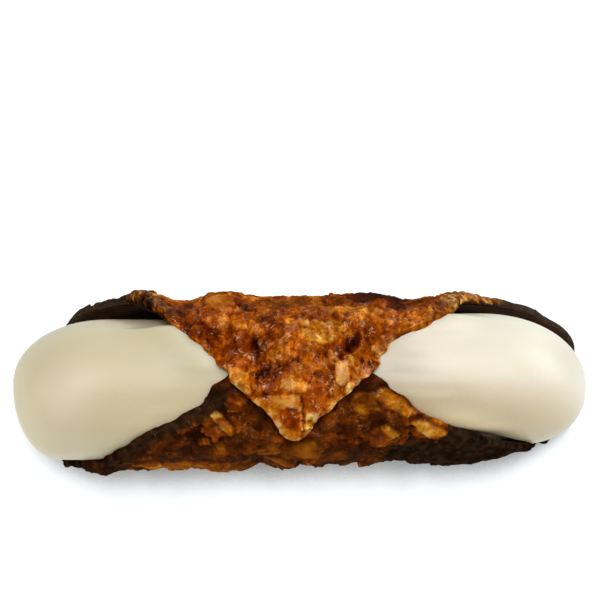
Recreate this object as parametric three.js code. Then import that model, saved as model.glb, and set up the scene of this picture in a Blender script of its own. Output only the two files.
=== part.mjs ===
// A cannoli: one square sheet of crisp fried pastry, wrapped corner to corner round a tube so
// that one corner laps over the other as a pointed flap. Dark chocolate lines the tube, and
// smooth cream fills it from end to end and swells out of both slanted mouths.
//
// Millimetres. X runs along the tube and Z is up. The origin is on the floor, under the middle
// of the tube. The cannoli lies on the back of its tube with the flap facing up and forward (-Y).

import * as THREE from "three";

// ---- Driving dimensions -------------------------------------------------------------------

const TUBE_RADIUS = 17.9; // to the middle of the crust, where the sheet is one layer thick
const WALL = 1.9; // crust thickness
const LAYER_GAP = 0.5; // air between the flap and the layer under it
const SKIN_GAP = 0.5; // clearance between crust, chocolate and cream
const CHOCOLATE = 0.8; // thickness of the lining
const ROLL = 22; // degrees that the seam leans forward from the top
const FLAT = 0.7; // depth of the flat that the tube rests on
const FLAT_REACH = [14, 30]; // degrees from the lowest line over which the crags set in
const RELIEF_MEAN = 0.4; // the crags stand on average this far out of the crust

// The sheet, measured in degrees round the tube from its centre line, opposite the seam.
const FLAP = { reach: 212, corner: 25, fullness: 1.03 }; // the outer half, up the far side
const UNDER = { reach: 205, corner: 12, fullness: 1.5 }; // the half that goes under it
const LEFT_END = 60; // from the middle to the sheet's left corner
const RIGHT_END = 65.2;
const UNDER_FROM = -80; // degrees from the seam: on the far side of this there is the flap alone
const TIP_SHIFT = -1.8; // the flap's tip lies this far left of the middle
const TIP_BLUNT = 1.2; // radius of the two wrapped corners
const LIFT = WALL + LAYER_GAP; // the flap's climb over the under layer
const DRAPE = [3.8, 9.5]; // it comes down again between these distances past that layer's edge
const COVERED_FROM = -142; // degrees from the centre line at which the flap's cover can begin
const COVERED_EDGE = [1.0, 2.6]; // the crags set in between these distances past the flap
const EDGE_WOBBLE = 0.55;
const RIM_ROUNDING = 0.5; // the crust's face falls by this much at its rim
const RIM_WIDTH = 2; // and begins to fall this far from it

// Where an edge of the sheet stands out (+) or falls back (-): [degrees from the centre line,
// width in degrees, depth].
const EDGE_BENDS = {
  flapLeft: [
    [84, 15, -2.2],
    [204, 7, -1.3],
  ],
  flapRight: [
    [36, 12, 1.8],
    [88, 20, -6.2],
    [148, 16, -4.8],
    [166, 5, 0.9],
    [186, 9, -2.7],
  ],
  underLeft: [
    [74, 18, 2.0],
    [167, 14, -4.7],
  ],
  underRight: [
    [60, 20, -2.0],
    [90, 16, -2.4],
    [115, 22, 4.2],
    [162, 13, -3.2],
    [175, 10, -2.2],
  ],
};

// The mouths: the crust flares a little towards each end, but not where it lies on the floor.
const FLARE = { left: 0.5, right: 0.0, from: 20, to: 42, clearFrom: 25, clearTo: 70 };

// Where the tube, bore and all, is pressed in: [x, degrees from the seam, width, height].
const PRESSED = [
  [29, 92, 9, -1.4],
  [60, 92, 13, -3.0],
];
const WAVE_HEIGHT = 0.3; // slow waves of the whole wall

// Bumps (+) and hollows (-) of the crust, which the bore follows little or not at all.
const SWELLS = [
  [-46, -90, 6, -0.5],
  [-36, -92, 4.5, 1.3],
  [-26, -95, 5, -1.6],
  [-17, -92, 4.5, 0.8],
  [3, -92, 5, 0.5],
  [15.5, -92, 6.5, 1.2],
  [25.5, -95, 5, -1.1],
  [36, -92, 7, 0.2],
  [-46, 88, 7, 1.3],
  [-17, 92, 7, 1.4],
  [-8.2, 92, 2.6, -1.6],
  [13.5, 90, 2.5, -0.8],
  [20, 90, 3.8, -2.3],
  [51, 84, 6, -1.7],
];
const SWELL_ROUND = 12; // half the length of each round the tube

// Large flakes that catch the eye: [x, degrees from the seam, lean in x, lean round the tube,
// height]. The leans are slopes; the rest of the crust is filled with flakes at random.
const FLAKES = [
  [-5.5, 15, -0.05, 0.1, 0.35],
  [5.5, 10, 0.08, 0.1, 0.2],
  [-2.5, -4, 0.0, 0.22, 0.1],
  [9.6, -8, 0.14, 0.05, 0.4],
  [-12.9, -5.5, -0.1, 0.08, 0.3],
  [-13.6, -45, 0.02, 0.3, 0.4],
  [-19, -66, -0.1, 0.0, 0.3],
  [-9.6, -22, -0.3, 0.0, -0.5],
  [-4, -27, 0.2, 0.0, 0.2],
  [2, -30, -0.12, 0.05, 0.1],
  [12.5, -58, 0.0, 0.2, 0.4],
  [16, -78, 0.0, -0.1, 0.1],
  [11.6, -30, 0.1, -0.2, -0.2],
  [-18.5, -28, -0.15, 0.05, 0.1],
];
const UNDER_FLAKES = [
  [-15.2, 10, 0.1, -0.1, 0.35],
  [-18.3, 24, -0.1, 0.2, 0.45],
  [18.4, 33, 0.28, 0.1, 0.45],
  [-4, 68, 0.1, 0.3, 0.3],
  [-27, 64, 0.0, 0.15, 0.35],
  [1, 46, 0.0, 0.1, 0.1],
  [22, 12, 0.15, 0.1, 0.3],
  [29, 26, 0.2, 0.1, 0.3],
  [34, 34, 0.1, 0.1, 0.35],
  [-25, 38, -0.2, -0.1, 0.0],
];
const FLAKE_SPACING = 6.4;
const FLAKE_LEAN = 0.2; // largest slope of a random flake
const FLAKE_STEP = 0.45; // largest height of a random flake
const FLAKE_EDGE = 0.9; // width of the step between two flakes
const FLAKE_WARP = 1.0; // how far the outlines of the flakes wander
const CRAG_RANGE = [-1.1, 1.5]; // deepest gap and highest flake
const BLISTERS = 90;
const BLISTER_SIZE = [1.6, 3.6]; // radius
const BLISTER_RISE = 0.3; // height as a share of the radius

// The cream where it shows: its radius, how far its middle lies down the near side (and does so
// at the very tip) and out of the mouth, and the length of the rounded nose, which is longer on
// the far side by lean and shorter against the tube's floor by sag. It fills the mouth to the rim
// from fillFrom, in degrees from the seam.
const CREAM = {
  left: {
    end: 65.2, radius: 16.1, down: 2.2, tipDown: 0.9, out: 0.6,
    nose: 17, lean: 5, sag: 8, fillFrom: -62,
  },
  right: {
    end: 65.2, radius: 14.9, down: -0.4, tipDown: 1.6, out: 0.7,
    nose: 19.7, lean: 4.7, sag: 11, fillFrom: -74,
  },
};
const CREAM_INSIDE_RADIUS = TUBE_RADIUS + 2; // more than the bore, which the cream fills
const CREAM_SPREAD = [8, 26]; // from the middle: it changes to its shape at the mouths
const CREAM_TURNED = [0.3, 0.7]; // share of the full radius over which its middle is allowed for
const CREAM_SETTLED = 2.0; // the cream is this much fuller where it lies on the tube's floor
const CREAM_FULLNESS = 2.1; // 2 is an ellipse; more is blunter
const SWELL_OUT = [0.4, 2.2]; // the cream spreads between these distances past the rim
const SWELL_MOST = 3.0;

// Where the cream fills the mouth up to the rim it sinks to its free radius this far past it. On
// the far side, on the near side and underneath it lies clear of the rim.
const FILL_WIDTH = 8;
const FILL_SETS_IN = 16; // degrees that the filling takes to set in
const FILL_ENDS = [25, 50]; // degrees from the seam over which it ends on the near side
const FILL_NOSE = 0.5; // share of the full radius over which it comes in from the nose

// Mesh steps.
const SHEET_STEPS = 54; // along each side of the sheet's outside; the inside has half as many
const LINING_ROUND = 36;
const LINING_ALONG = 20;
const LINING_INSET = 1.1; // the chocolate ends this far inside the rim
const CREAM_ROUND = 36;
const CREAM_OUTSIDE = 9; // from each nose to the rim
const CREAM_INSIDE = 12; // from rim to rim
const CREAM_LEAST = 9; // length that the outside part has where the cream ends inside the rim

// ---- Small helpers --------------------------------------------------------------------------

const SHEET_RADIUS = TUBE_RADIUS + WALL / 2 + RELIEF_MEAN; // where the flakes are laid out
const AXIS_Z = SHEET_RADIUS - FLAT;
const MM_PER_DEGREE = (SHEET_RADIUS * Math.PI) / 180;

const clamp01 = (t) => Math.min(1, Math.max(0, t));
const smooth = (from, to, t) => {
  const s = clamp01((t - from) / (to - from));
  return s * s * (3 - 2 * s);
};

// The same sequence of numbers from 0 to 1 on every run.
function randomFrom(seed) {
  let state = seed >>> 0;
  return () => {
    state = (Math.imul(1664525, state) + 1013904223) >>> 0;
    return state / 4294967296;
  };
}

// A soft random field: waves of one range of lengths in all directions, from -1 to 1 or so.
function ripples(seed, shortest, longest, count) {
  const random = randomFrom(seed);
  const waves = [];
  for (let i = 0; i < count; i++) {
    const length = shortest + (longest - shortest) * random();
    const heading = 2 * Math.PI * random();
    const phase = 2 * Math.PI * random();
    const turn = (2 * Math.PI) / length;
    waves.push([turn * Math.cos(heading), turn * Math.sin(heading), phase]);
  }
  const share = Math.sqrt(2 / count) / 1.4;
  return (x, y) =>
    share * waves.reduce((sum, [kx, ky, phase]) => sum + Math.sin(kx * x + ky * y + phase), 0);
}

// ---- The sheet's outline ----------------------------------------------------------------------

const wobble = {
  flapLeft: ripples(11, 5, 14, 6),
  flapRight: ripples(12, 5, 14, 6),
  underLeft: ripples(13, 5, 14, 6),
  underRight: ripples(14, 5, 14, 6),
};

// Half the sheet's length on one side, at tau degrees from its centre line. Past the wrapped
// corner it goes on below zero, so that it can also be read as a distance from the corner.
function reachOf(tau, right) {
  const half = tau >= 0 ? FLAP : UNDER;
  const end = right ? RIGHT_END : LEFT_END;
  const past = Math.abs(tau) - half.reach;
  if (past >= 0) return -past * MM_PER_DEGREE;
  const rounded = (t) => Math.hypot(t, half.corner) - half.corner;
  const t = rounded(tau) / rounded(half.reach);
  const straight = Math.pow(1 - Math.pow(t, half.fullness), 1 / half.fullness);
  const fromTip = clamp01((-past * MM_PER_DEGREE) / TIP_BLUNT);
  const blunt = TIP_BLUNT * Math.sqrt(1 - (1 - fromTip) * (1 - fromTip));
  const side = (tau >= 0 ? "flap" : "under") + (right ? "Right" : "Left");
  const nearTip = smooth(0, 4, -past * MM_PER_DEGREE);
  const ragged = EDGE_WOBBLE * wobble[side](tau * MM_PER_DEGREE, 0) * smooth(0, 20, Math.abs(tau));
  let bends = 0;
  for (const [at, width, depth] of EDGE_BENDS[side])
    bends += depth * Math.exp(-(((Math.abs(tau) - at) / width) ** 2));
  return (end - TIP_BLUNT) * straight + blunt + (bends + ragged) * nearTip;
}

const shiftOf = (tau) => TIP_SHIFT * smooth(180, FLAP.reach, tau);

// Degrees from the seam, -180 to 180, for degrees from the centre line. It is negative on the
// far side, which the flap comes up, and positive on the near side.
const fromSeam = (tau) => (tau >= 0 ? tau - 180 : tau + 180);

// Half the length of the mouth's outline at an angle from the seam, whichever layer reaches on.
function mouthAt(seam, right) {
  const flap = reachOf(seam + 180, right);
  return seam > UNDER_FROM ? Math.max(flap, reachOf(seam - 180, right)) : flap;
}

// ---- The crust's form ---------------------------------------------------------------------------

function swells(places, x, seam) {
  let sum = 0;
  for (const [cx, angle, width, height] of places) {
    const dx = (x - cx) / width;
    const turn = ((seam - angle + 540) % 360) - 180;
    const dy = (turn * MM_PER_DEGREE) / SWELL_ROUND;
    sum += height * Math.exp(-dx * dx - dy * dy);
  }
  return sum;
}

const slowWaves = ripples(21, 22, 50, 7);

// How far the wall lies outside a plain tube, without its swells and the flap's climb.
function bentBy(x, seam) {
  const share = x < 0 ? FLARE.left : FLARE.right;
  const offFloor = smooth(FLARE.clearFrom, FLARE.clearTo, 180 - Math.abs(seam));
  const flare = share * smooth(FLARE.from, FLARE.to, Math.abs(x)) * offFloor;
  const waves = WAVE_HEIGHT * slowWaves(x, SHEET_RADIUS * Math.sin((seam * Math.PI) / 180));
  return flare + waves + swells(PRESSED, x, seam);
}

// How far the flap stands off the tube to clear the under layer, over which it is draped.
function climbAt(x, tau) {
  if (tau < 90) return 0;
  const past = Math.abs(x) - reachOf(tau - 360, x >= 0);
  return LIFT * (1 - smooth(DRAPE[0], DRAPE[1], past));
}

// The radius of the tube's bore, which follows the hollows of the crust by half.
function boreAt(x, seam) {
  return TUBE_RADIUS - WALL / 2 + bentBy(x, seam) + 0.5 * Math.min(0, swells(SWELLS, x, seam));
}

// ---- Flakes and blisters ------------------------------------------------------------------------

// Every flake: its place on the flat sheet, its two slopes, its height and its size.
function scatterFlakes() {
  const random = randomFrom(31);
  const flakes = [];
  for (const [list, side] of [[FLAKES, 180], [UNDER_FLAKES, -180]])
    for (const [x, seam, leanX, leanRound, height] of list)
      flakes.push([x, (seam + side) * MM_PER_DEGREE, leanX, leanRound, height, 1.0]);
  const named = flakes.length;
  const most = FLAP.reach * MM_PER_DEGREE;
  for (let y = -most; y < most; y += FLAKE_SPACING)
    for (let x = -RIGHT_END; x < RIGHT_END; x += FLAKE_SPACING) {
      const px = x + FLAKE_SPACING * (random() - 0.5) * 1.1;
      const py = y + FLAKE_SPACING * (random() - 0.5) * 1.1;
      const leanX = FLAKE_LEAN * (2 * random() - 1);
      const leanRound = FLAKE_LEAN * (2 * random() - 1);
      const height = FLAKE_STEP * (2 * random() - 1);
      const size = 0.75 + 0.5 * random();
      const crowded = flakes
        .slice(0, named)
        .some(([nx, ny]) => Math.hypot(px - nx, py - ny) < 0.75 * FLAKE_SPACING);
      if (!crowded) flakes.push([px, py, leanX, leanRound, height, size]);
    }
  return flakes;
}

function scatterBlisters() {
  const random = randomFrom(32);
  const blisters = [];
  const most = FLAP.reach * MM_PER_DEGREE;
  for (let i = 0; i < BLISTERS; i++) {
    const x = RIGHT_END * (2 * random() - 1);
    const y = most * (2 * random() - 1);
    const radius = BLISTER_SIZE[0] + (BLISTER_SIZE[1] - BLISTER_SIZE[0]) * random() ** 2;
    blisters.push([x, y, radius]);
  }
  return blisters;
}

const flakes = scatterFlakes();
const blisters = scatterBlisters();
const warpX = ripples(41, 3.5, 9, 8);
const warpY = ripples(42, 3.5, 9, 8);

// Height of the crags over the crust at a place on the flat sheet.
function cragAt(x, along) {
  const wx = x + FLAKE_WARP * warpX(x, along);
  const wy = along + FLAKE_WARP * warpY(x, along);
  let first = [Infinity, 0];
  let second = [Infinity, 0];
  for (const [fx, fy, leanX, leanRound, height, size] of flakes) {
    const dx = wx - fx;
    const dy = wy - fy;
    const distance = Math.hypot(dx, dy) / size;
    if (distance >= second[0]) continue;
    const top = height + leanX * dx + leanRound * dy;
    if (distance < first[0]) {
      second = first;
      first = [distance, top];
    } else second = [distance, top];
  }
  const own = 0.5 + 0.5 * smooth(0, FLAKE_EDGE, second[0] - first[0]);
  let height = own * first[1] + (1 - own) * second[1];
  for (const [bx, by, radius] of blisters) {
    const d2 = ((x - bx) ** 2 + (along - by) ** 2) / radius ** 2;
    if (d2 < 1) height += BLISTER_RISE * radius * (1 - d2) ** 1.5;
  }
  return RELIEF_MEAN + Math.min(CRAG_RANGE[1], Math.max(CRAG_RANGE[0], height));
}

// 1 where the flap covers the under layer, 0 where the crust is open to view.
function coveredAt(x, tau) {
  if (tau > COVERED_FROM) return 0;
  const middle = shiftOf(tau + 360);
  const past = Math.abs(x - middle) - reachOf(tau + 360, x >= middle);
  return 1 - smooth(COVERED_EDGE[0], COVERED_EDGE[1], past);
}

// ---- Points of the sheet ------------------------------------------------------------------------

// a and b run from -1 to 1 along the two pairs of sides, so that a = b is the wrapped diagonal.
function sheetPlace(a, b) {
  const u = (a + b) / 2;
  const w = (a - b) / 2;
  const tau = u * (u >= 0 ? FLAP.reach : UNDER.reach);
  const share = Math.abs(u) > 0.9999 ? 0 : w / (1 - Math.abs(u));
  const x = share * reachOf(tau, share > 0) + shiftOf(tau);
  return { x, tau };
}

// The point at a radius from the tube's axis, at an angle from the sheet's centre line.
function pointAt(x, tau, radius) {
  const turn = ((ROLL + tau) * Math.PI) / 180;
  return [x, radius * Math.sin(turn), AXIS_Z - radius * Math.cos(turn)];
}

const SIDE_LENGTH = Math.hypot(RIGHT_END, FLAP.reach * MM_PER_DEGREE);

function outerPoint(a, b) {
  const { x, tau } = sheetPlace(a, b);
  const seam = fromSeam(tau);
  const fromRim = ((1 - Math.max(Math.abs(a), Math.abs(b))) * SIDE_LENGTH) / 2;
  const open = 1 - coveredAt(x, tau);
  const offFloor = smooth(FLAT_REACH[0], FLAT_REACH[1], Math.abs(ROLL + tau));
  const crags = RELIEF_MEAN + (cragAt(x, tau * MM_PER_DEGREE) - RELIEF_MEAN) * offFloor;
  const rounded = RIM_ROUNDING * (1 - smooth(0, RIM_WIDTH, fromRim));
  const face = TUBE_RADIUS + WALL / 2 + bentBy(x, seam) + swells(SWELLS, x, seam) * offFloor;
  const radius = face + climbAt(x, tau) + crags * open - rounded;
  const [px, py, pz] = pointAt(x, tau, radius);
  return [px, py, Math.max(0, pz)];
}

function innerPoint(a, b) {
  const { x, tau } = sheetPlace(a, b);
  return pointAt(x, tau, boreAt(x, fromSeam(tau)) + climbAt(x, tau));
}

// ---- Meshes ---------------------------------------------------------------------------------------

function closedGeometry(points, triangles) {
  const geometry = new THREE.BufferGeometry();
  geometry.setAttribute("position", new THREE.Float32BufferAttribute(points.flat(), 3));
  geometry.setIndex(triangles.flat());
  geometry.computeVertexNormals();
  return geometry;
}

// Two triangles for each cell of a grid whose rows are lists of vertex numbers.
function gridTriangles(rows, flip) {
  const triangles = [];
  for (let i = 0; i + 1 < rows.length; i++)
    for (let j = 0; j + 1 < rows[i].length; j++) {
      const [p, q, r, s] = [rows[i][j], rows[i + 1][j], rows[i + 1][j + 1], rows[i][j + 1]];
      triangles.push(...(flip ? [[p, r, q], [p, s, r]] : [[p, q, r], [p, r, s]]));
    }
  return triangles;
}

// The border of a square grid as one loop of vertex numbers.
function borderOf(rows) {
  const last = rows.length - 1;
  const loop = [];
  for (let i = 0; i < last; i++) loop.push(rows[i][0]);
  for (let j = 0; j < last; j++) loop.push(rows[last][j]);
  for (let i = last; i > 0; i--) loop.push(rows[i][last]);
  for (let j = last; j > 0; j--) loop.push(rows[0][j]);
  return loop;
}

function squareGrid(points, steps, place) {
  const rows = [];
  for (let i = 0; i <= steps; i++) {
    const row = [];
    for (let j = 0; j <= steps; j++) {
      row.push(points.length);
      points.push(place(-1 + (2 * i) / steps, -1 + (2 * j) / steps));
    }
    rows.push(row);
  }
  return rows;
}

// The wrapped sheet: a fine outside, an inside of half as many steps, and the rim between them.
function crustGeometry() {
  const points = [];
  const outer = squareGrid(points, SHEET_STEPS, outerPoint);
  const inner = squareGrid(points, SHEET_STEPS / 2, innerPoint);
  const triangles = [...gridTriangles(outer, true), ...gridTriangles(inner, false)];
  const outerRim = borderOf(outer);
  const innerRim = borderOf(inner);
  innerRim.forEach((here, k) => {
    const next = innerRim[(k + 1) % innerRim.length];
    const [o0, o1] = [outerRim[2 * k], outerRim[2 * k + 1]];
    const o2 = outerRim[(2 * k + 2) % outerRim.length];
    triangles.push([o0, o1, here], [o1, next, here], [o1, o2, next]);
  });
  return closedGeometry(points, triangles);
}

// A tube between the left and right mouths, between two radii that depend on place.
function liningGeometry() {
  const points = [];
  const face = (depth) => {
    const rows = [];
    for (let i = 0; i <= LINING_ALONG; i++) {
      const row = [];
      for (let j = 0; j < LINING_ROUND; j++) {
        const seam = -180 + (360 * j) / LINING_ROUND;
        const left = -mouthAt(seam, false) + LINING_INSET;
        const right = mouthAt(seam, true) - LINING_INSET;
        const x = left + ((right - left) * i) / LINING_ALONG;
        row.push(points.length);
        points.push(pointAt(x, seam + 180, boreAt(x, seam) - depth));
      }
      row.push(row[0]);
      rows.push(row);
    }
    return rows;
  };
  const outer = face(SKIN_GAP);
  const inner = face(SKIN_GAP + CHOCOLATE);
  const leftRim = [inner[0], outer[0]];
  const rightRim = [outer[LINING_ALONG], inner[LINING_ALONG]];
  const faces = [[outer, true], [inner, false], [leftRim, true], [rightRim, true]];
  return closedGeometry(points, faces.flatMap(([rows, flip]) => gridTriangles(rows, flip)));
}

// Where the cream may reach: up to the lining inside the tube, and over the rim outside it.
function creamLimit(x, seam) {
  const past = Math.abs(x) - mouthAt(seam, x >= 0);
  const inside = boreAt(x, seam) - CHOCOLATE - 2 * SKIN_GAP;
  return inside + SWELL_MOST * smooth(SWELL_OUT[0], SWELL_OUT[1], past);
}

// A point of the cream's surface at x, at an angle from the seam. The cream's middle lies off
// the tube's axis, so the angle round it is turned to meet the one round the tube.
function creamPoint(x, seam) {
  const end = x < 0 ? CREAM.left : CREAM.right;
  const spread = smooth(CREAM_SPREAD[0], CREAM_SPREAD[1], Math.abs(x));
  const theta = (seam * Math.PI) / 180;
  const below = Math.max(0, -Math.cos(theta)) ** 2;
  const length = end.nose - end.lean * Math.sin(theta) - end.sag * below;
  const nose = clamp01((Math.abs(x) - end.end + length) / length);
  const cap = Math.pow(1 - Math.pow(nose, CREAM_FULLNESS), 1 / CREAM_FULLNESS);
  const shown = end.radius + CREAM_SETTLED * below;
  const radius = (CREAM_INSIDE_RADIUS + (shown - CREAM_INSIDE_RADIUS) * spread) * cap;
  const out = end.out * spread * cap;
  const down = (end.tipDown + (end.down - end.tipDown) * cap) * spread;
  const aside = (Math.sin(theta) * out - Math.cos(theta) * down) / Math.max(radius, 1);
  const allowed = aside * smooth(CREAM_TURNED[0], CREAM_TURNED[1], cap);
  const turn = theta + Math.asin(Math.max(-1, Math.min(1, allowed)));
  const px = radius * Math.cos(turn) + out;
  const py = radius * Math.sin(turn) + down;
  const angle = (Math.atan2(py, px) * 180) / Math.PI;
  const free = Math.hypot(px, py);
  const limit = creamLimit(x, angle);
  const past = Math.max(0, Math.abs(x) - mouthAt(angle, x >= 0));
  const begun = smooth(end.fillFrom, end.fillFrom + FILL_SETS_IN, angle);
  const ended = smooth(FILL_ENDS[0], FILL_ENDS[1], angle);
  const near = Math.exp(-((past / FILL_WIDTH) ** 2)) * smooth(0, FILL_NOSE, cap);
  const filled = free + Math.max(0, limit - free) * begun * (1 - ended) * near;
  return pointAt(x, angle + 180, Math.min(limit, filled));
}

// One line of the cream's surface from nose to nose. Its points gather at the noses and rims.
function creamLine(seam) {
  const places = [];
  const left = -Math.min(mouthAt(seam, false), CREAM.left.end - CREAM_LEAST);
  const right = Math.min(mouthAt(seam, true), CREAM.right.end - CREAM_LEAST);
  for (let i = 1; i <= CREAM_OUTSIDE; i++)
    places.push(-CREAM.left.end + (left + CREAM.left.end) * smooth(0, CREAM_OUTSIDE, i));
  for (let i = 1; i <= CREAM_INSIDE; i++)
    places.push(left + ((right - left) * i) / CREAM_INSIDE);
  for (let i = CREAM_OUTSIDE - 1; i >= 1; i--)
    places.push(CREAM.right.end - (CREAM.right.end - right) * smooth(0, CREAM_OUTSIDE, i));
  return places.map((x) => creamPoint(x, seam));
}

function creamGeometry() {
  const lines = [];
  for (let j = 0; j < CREAM_ROUND; j++) lines.push(creamLine(-180 + (360 * j) / CREAM_ROUND));
  const points = [];
  const rows = lines[0].map((_, i) => {
    const row = lines.map((line) => points.push(line[i]) - 1);
    return [...row, row[0]];
  });
  const leftPole = points.push(creamPoint(-CREAM.left.end, 0)) - 1;
  const rightPole = points.push(creamPoint(CREAM.right.end, 0)) - 1;
  const triangles = gridTriangles(rows, true);
  const last = rows[rows.length - 1];
  for (let j = 0; j < CREAM_ROUND; j++) {
    triangles.push([leftPole, rows[0][j + 1], rows[0][j]]);
    triangles.push([rightPole, last[j], last[j + 1]]);
  }
  return closedGeometry(points, triangles);
}

// ---- The cannoli ----------------------------------------------------------------------------------

function piece(name, geometry, color, roughness) {
  const material = new THREE.MeshStandardMaterial({ color, roughness, metalness: 0 });
  const mesh = new THREE.Mesh(geometry, material);
  mesh.name = name;
  return mesh;
}

const cannoli = new THREE.Group();
cannoli.add(piece("pastry_shell", crustGeometry(), 0x8a4a1a, 0.45));
cannoli.add(piece("chocolate_lining", liningGeometry(), 0x2a1b15, 0.4));
cannoli.add(piece("cream_filling", creamGeometry(), 0xeae0c4, 0.35));

export default cannoli;
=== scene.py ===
import math

import bpy
import numpy as np
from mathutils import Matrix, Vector, noise


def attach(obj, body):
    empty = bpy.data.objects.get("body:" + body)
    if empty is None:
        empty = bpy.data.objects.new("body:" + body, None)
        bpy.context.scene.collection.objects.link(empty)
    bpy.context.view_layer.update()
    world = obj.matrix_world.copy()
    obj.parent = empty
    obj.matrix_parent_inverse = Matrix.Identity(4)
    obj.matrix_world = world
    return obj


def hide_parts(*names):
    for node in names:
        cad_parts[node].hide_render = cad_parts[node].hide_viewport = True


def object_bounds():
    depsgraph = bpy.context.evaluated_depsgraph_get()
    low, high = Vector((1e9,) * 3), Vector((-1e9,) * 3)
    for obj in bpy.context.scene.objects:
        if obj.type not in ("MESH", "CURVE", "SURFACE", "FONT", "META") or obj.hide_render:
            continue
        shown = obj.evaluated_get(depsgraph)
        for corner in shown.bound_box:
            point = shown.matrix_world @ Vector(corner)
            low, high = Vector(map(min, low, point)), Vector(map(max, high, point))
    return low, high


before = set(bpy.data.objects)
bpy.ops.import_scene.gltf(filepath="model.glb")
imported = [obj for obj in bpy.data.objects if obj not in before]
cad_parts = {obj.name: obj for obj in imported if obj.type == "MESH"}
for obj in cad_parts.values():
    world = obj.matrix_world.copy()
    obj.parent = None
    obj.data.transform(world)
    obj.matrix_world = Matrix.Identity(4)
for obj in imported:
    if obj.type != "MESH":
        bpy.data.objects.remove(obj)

cad_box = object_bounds()
MM = 0.001

# Lengths are millimetres up to make_piece. A place on the flat sheet is x, along the tube, and tau,
# degrees round it from the sheet's centre line: above zero on the flap, below zero on the layer
# under it. seam is the angle from the seam, opposite the centre line, where the corners lap. Keys
# are True for the flap or the right end, and False for the layer under it or the left end.


def new_object(name, data):
    """An object in the scene."""
    thing = bpy.data.objects.new(name, data)
    bpy.context.scene.collection.objects.link(thing)
    return thing


# ---- The camera: nearly overhead, from the side that the flap's tip points to -----------------

ELEVATION = math.radians(72)
DISTANCE = 0.70
PIXELS_PER_MM = 4.4
FRAME_HEIGHT = 601
SENSOR = 36.0
RAISED = 0.0176  # the cannoli lies this far below the middle of the frame

low, high = (Vector(corner) for corner in cad_box)
middle = (low + high) / 2
toward_camera = Vector((0, -math.cos(ELEVATION), math.sin(ELEVATION)))
up_in_frame = Vector((0, math.sin(ELEVATION), math.cos(ELEVATION)))
camera = bpy.data.cameras.new("camera")
camera.sensor_width = SENSOR
camera.lens = SENSOR * PIXELS_PER_MM * DISTANCE / MM / FRAME_HEIGHT
camera.clip_end = 20
viewer = new_object("camera", camera)
aim = middle + up_in_frame * RAISED
viewer.location = aim + toward_camera * DISTANCE
viewer.rotation_euler = (-toward_camera).to_track_quat("-Z", "Y").to_euler()
bpy.context.scene.camera = viewer

# ---- The form, in millimetres, as in the part's source -----------------------------------------

TUBE_RADIUS = 17.9
WALL = 1.9
LAYER_GAP = 0.5
SKIN_GAP = 0.5
CHOCOLATE = 0.8
ROLL = 22
FLAT = 0.7
RELIEF_MEAN = 0.4

FLAP = dict(reach=212, corner=25, fullness=1.03)
UNDER = dict(reach=205, corner=12, fullness=1.5)
LEFT_END = 60
RIGHT_END = 65.2
TIP_SHIFT = -1.8
TIP_BLUNT = 1.2
LIFT = WALL + LAYER_GAP
DRAPE = (3.8, 9.5)
EDGE_WOBBLE = 0.55

# The rims' finer raggedness, which only the visual model has, then their slow bends: at how many
# degrees from the centre line, width in degrees, depth.
CHIPS = 0.28
NOTCHES = {
    (True, True): [(175, 5, -1.1), (186, 3, 0.5), (197, 3, -0.5)],
    (True, False): [(181, 5, 0.9), (190, 2.5, -0.7)],
}
EDGE_BENDS = {
    (True, False): [(84, 15, -2.2), (204, 7, -1.3)],
    (True, True): [
        (36, 12, 1.8), (88, 20, -6.2), (148, 16, -4.8), (166, 5, 0.9), (186, 9, -2.7),
    ],
    (False, False): [(74, 18, 2.0), (167, 14, -4.7)],
    (False, True): [
        (60, 20, -2.0), (90, 16, -2.4), (115, 22, 4.2), (162, 13, -3.2), (175, 10, -2.2),
    ],
}
FLARE = {False: 0.5, True: 0.0}
FLARE_FROM, FLARE_TO = 20, 42
FLARE_CLEAR_FROM, FLARE_CLEAR_TO = 25, 70

# Dents and swells of the tube: x, degrees from the seam, width along x, height.
PRESSED = [(29, 92, 9, -1.4), (60, 92, 13, -3.0)]
SWELLS = [
    (-46, -90, 6, -0.5),
    (-36, -92, 4.5, 1.3),
    (-26, -95, 5, -1.6),
    (-17, -92, 4.5, 0.8),
    (3, -92, 5, 0.5),
    (15.5, -92, 6.5, 1.2),
    (25.5, -95, 5, -1.1),
    (36, -92, 7, 0.2),
    (-46, 88, 7, 1.3),
    (-17, 92, 7, 1.4),
    (-8.2, 92, 2.6, -1.6),
    (13.5, 90, 2.5, -0.8),
    (20, 90, 3.8, -2.3),
    (51, 84, 6, -1.7),
]
SWELL_ROUND = 12
WAVE_HEIGHT = 0.3
FLAT_REACH = (14, 30)

# x, degrees from the seam, lean in x, lean round the tube, height, tone
FLAKES = [
    (-5.5, 15, -0.05, 0.1, 0.35, 0.12),
    (5.5, 10, 0.08, 0.1, 0.2, 0.1),
    (-2.5, -4, 0, 0.22, 0.1, 0),
    (9.6, -8, 0.14, 0.05, 0.4, 0.2),
    (-12.9, -5.5, -0.1, 0.08, 0.3, 0.2),
    (-13.6, -45, 0.02, 0.3, 0.4, 0.1),
    (-19, -66, -0.1, 0, 0.3, 0),
    (-9.6, -22, -0.3, 0, -0.5, -0.06),
    (-4, -27, 0.2, 0, 0.2, 0.1),
    (2, -30, -0.12, 0.05, 0.1, 0.05),
    (12.5, -58, 0, 0.2, 0.4, 0.15),
    (16, -78, 0, -0.1, 0.1, -0.25),
    (11.6, -30, 0.1, -0.2, -0.2, -0.04),
    (-18.5, -28, -0.15, 0.05, 0.1, -0.05),
]
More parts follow.
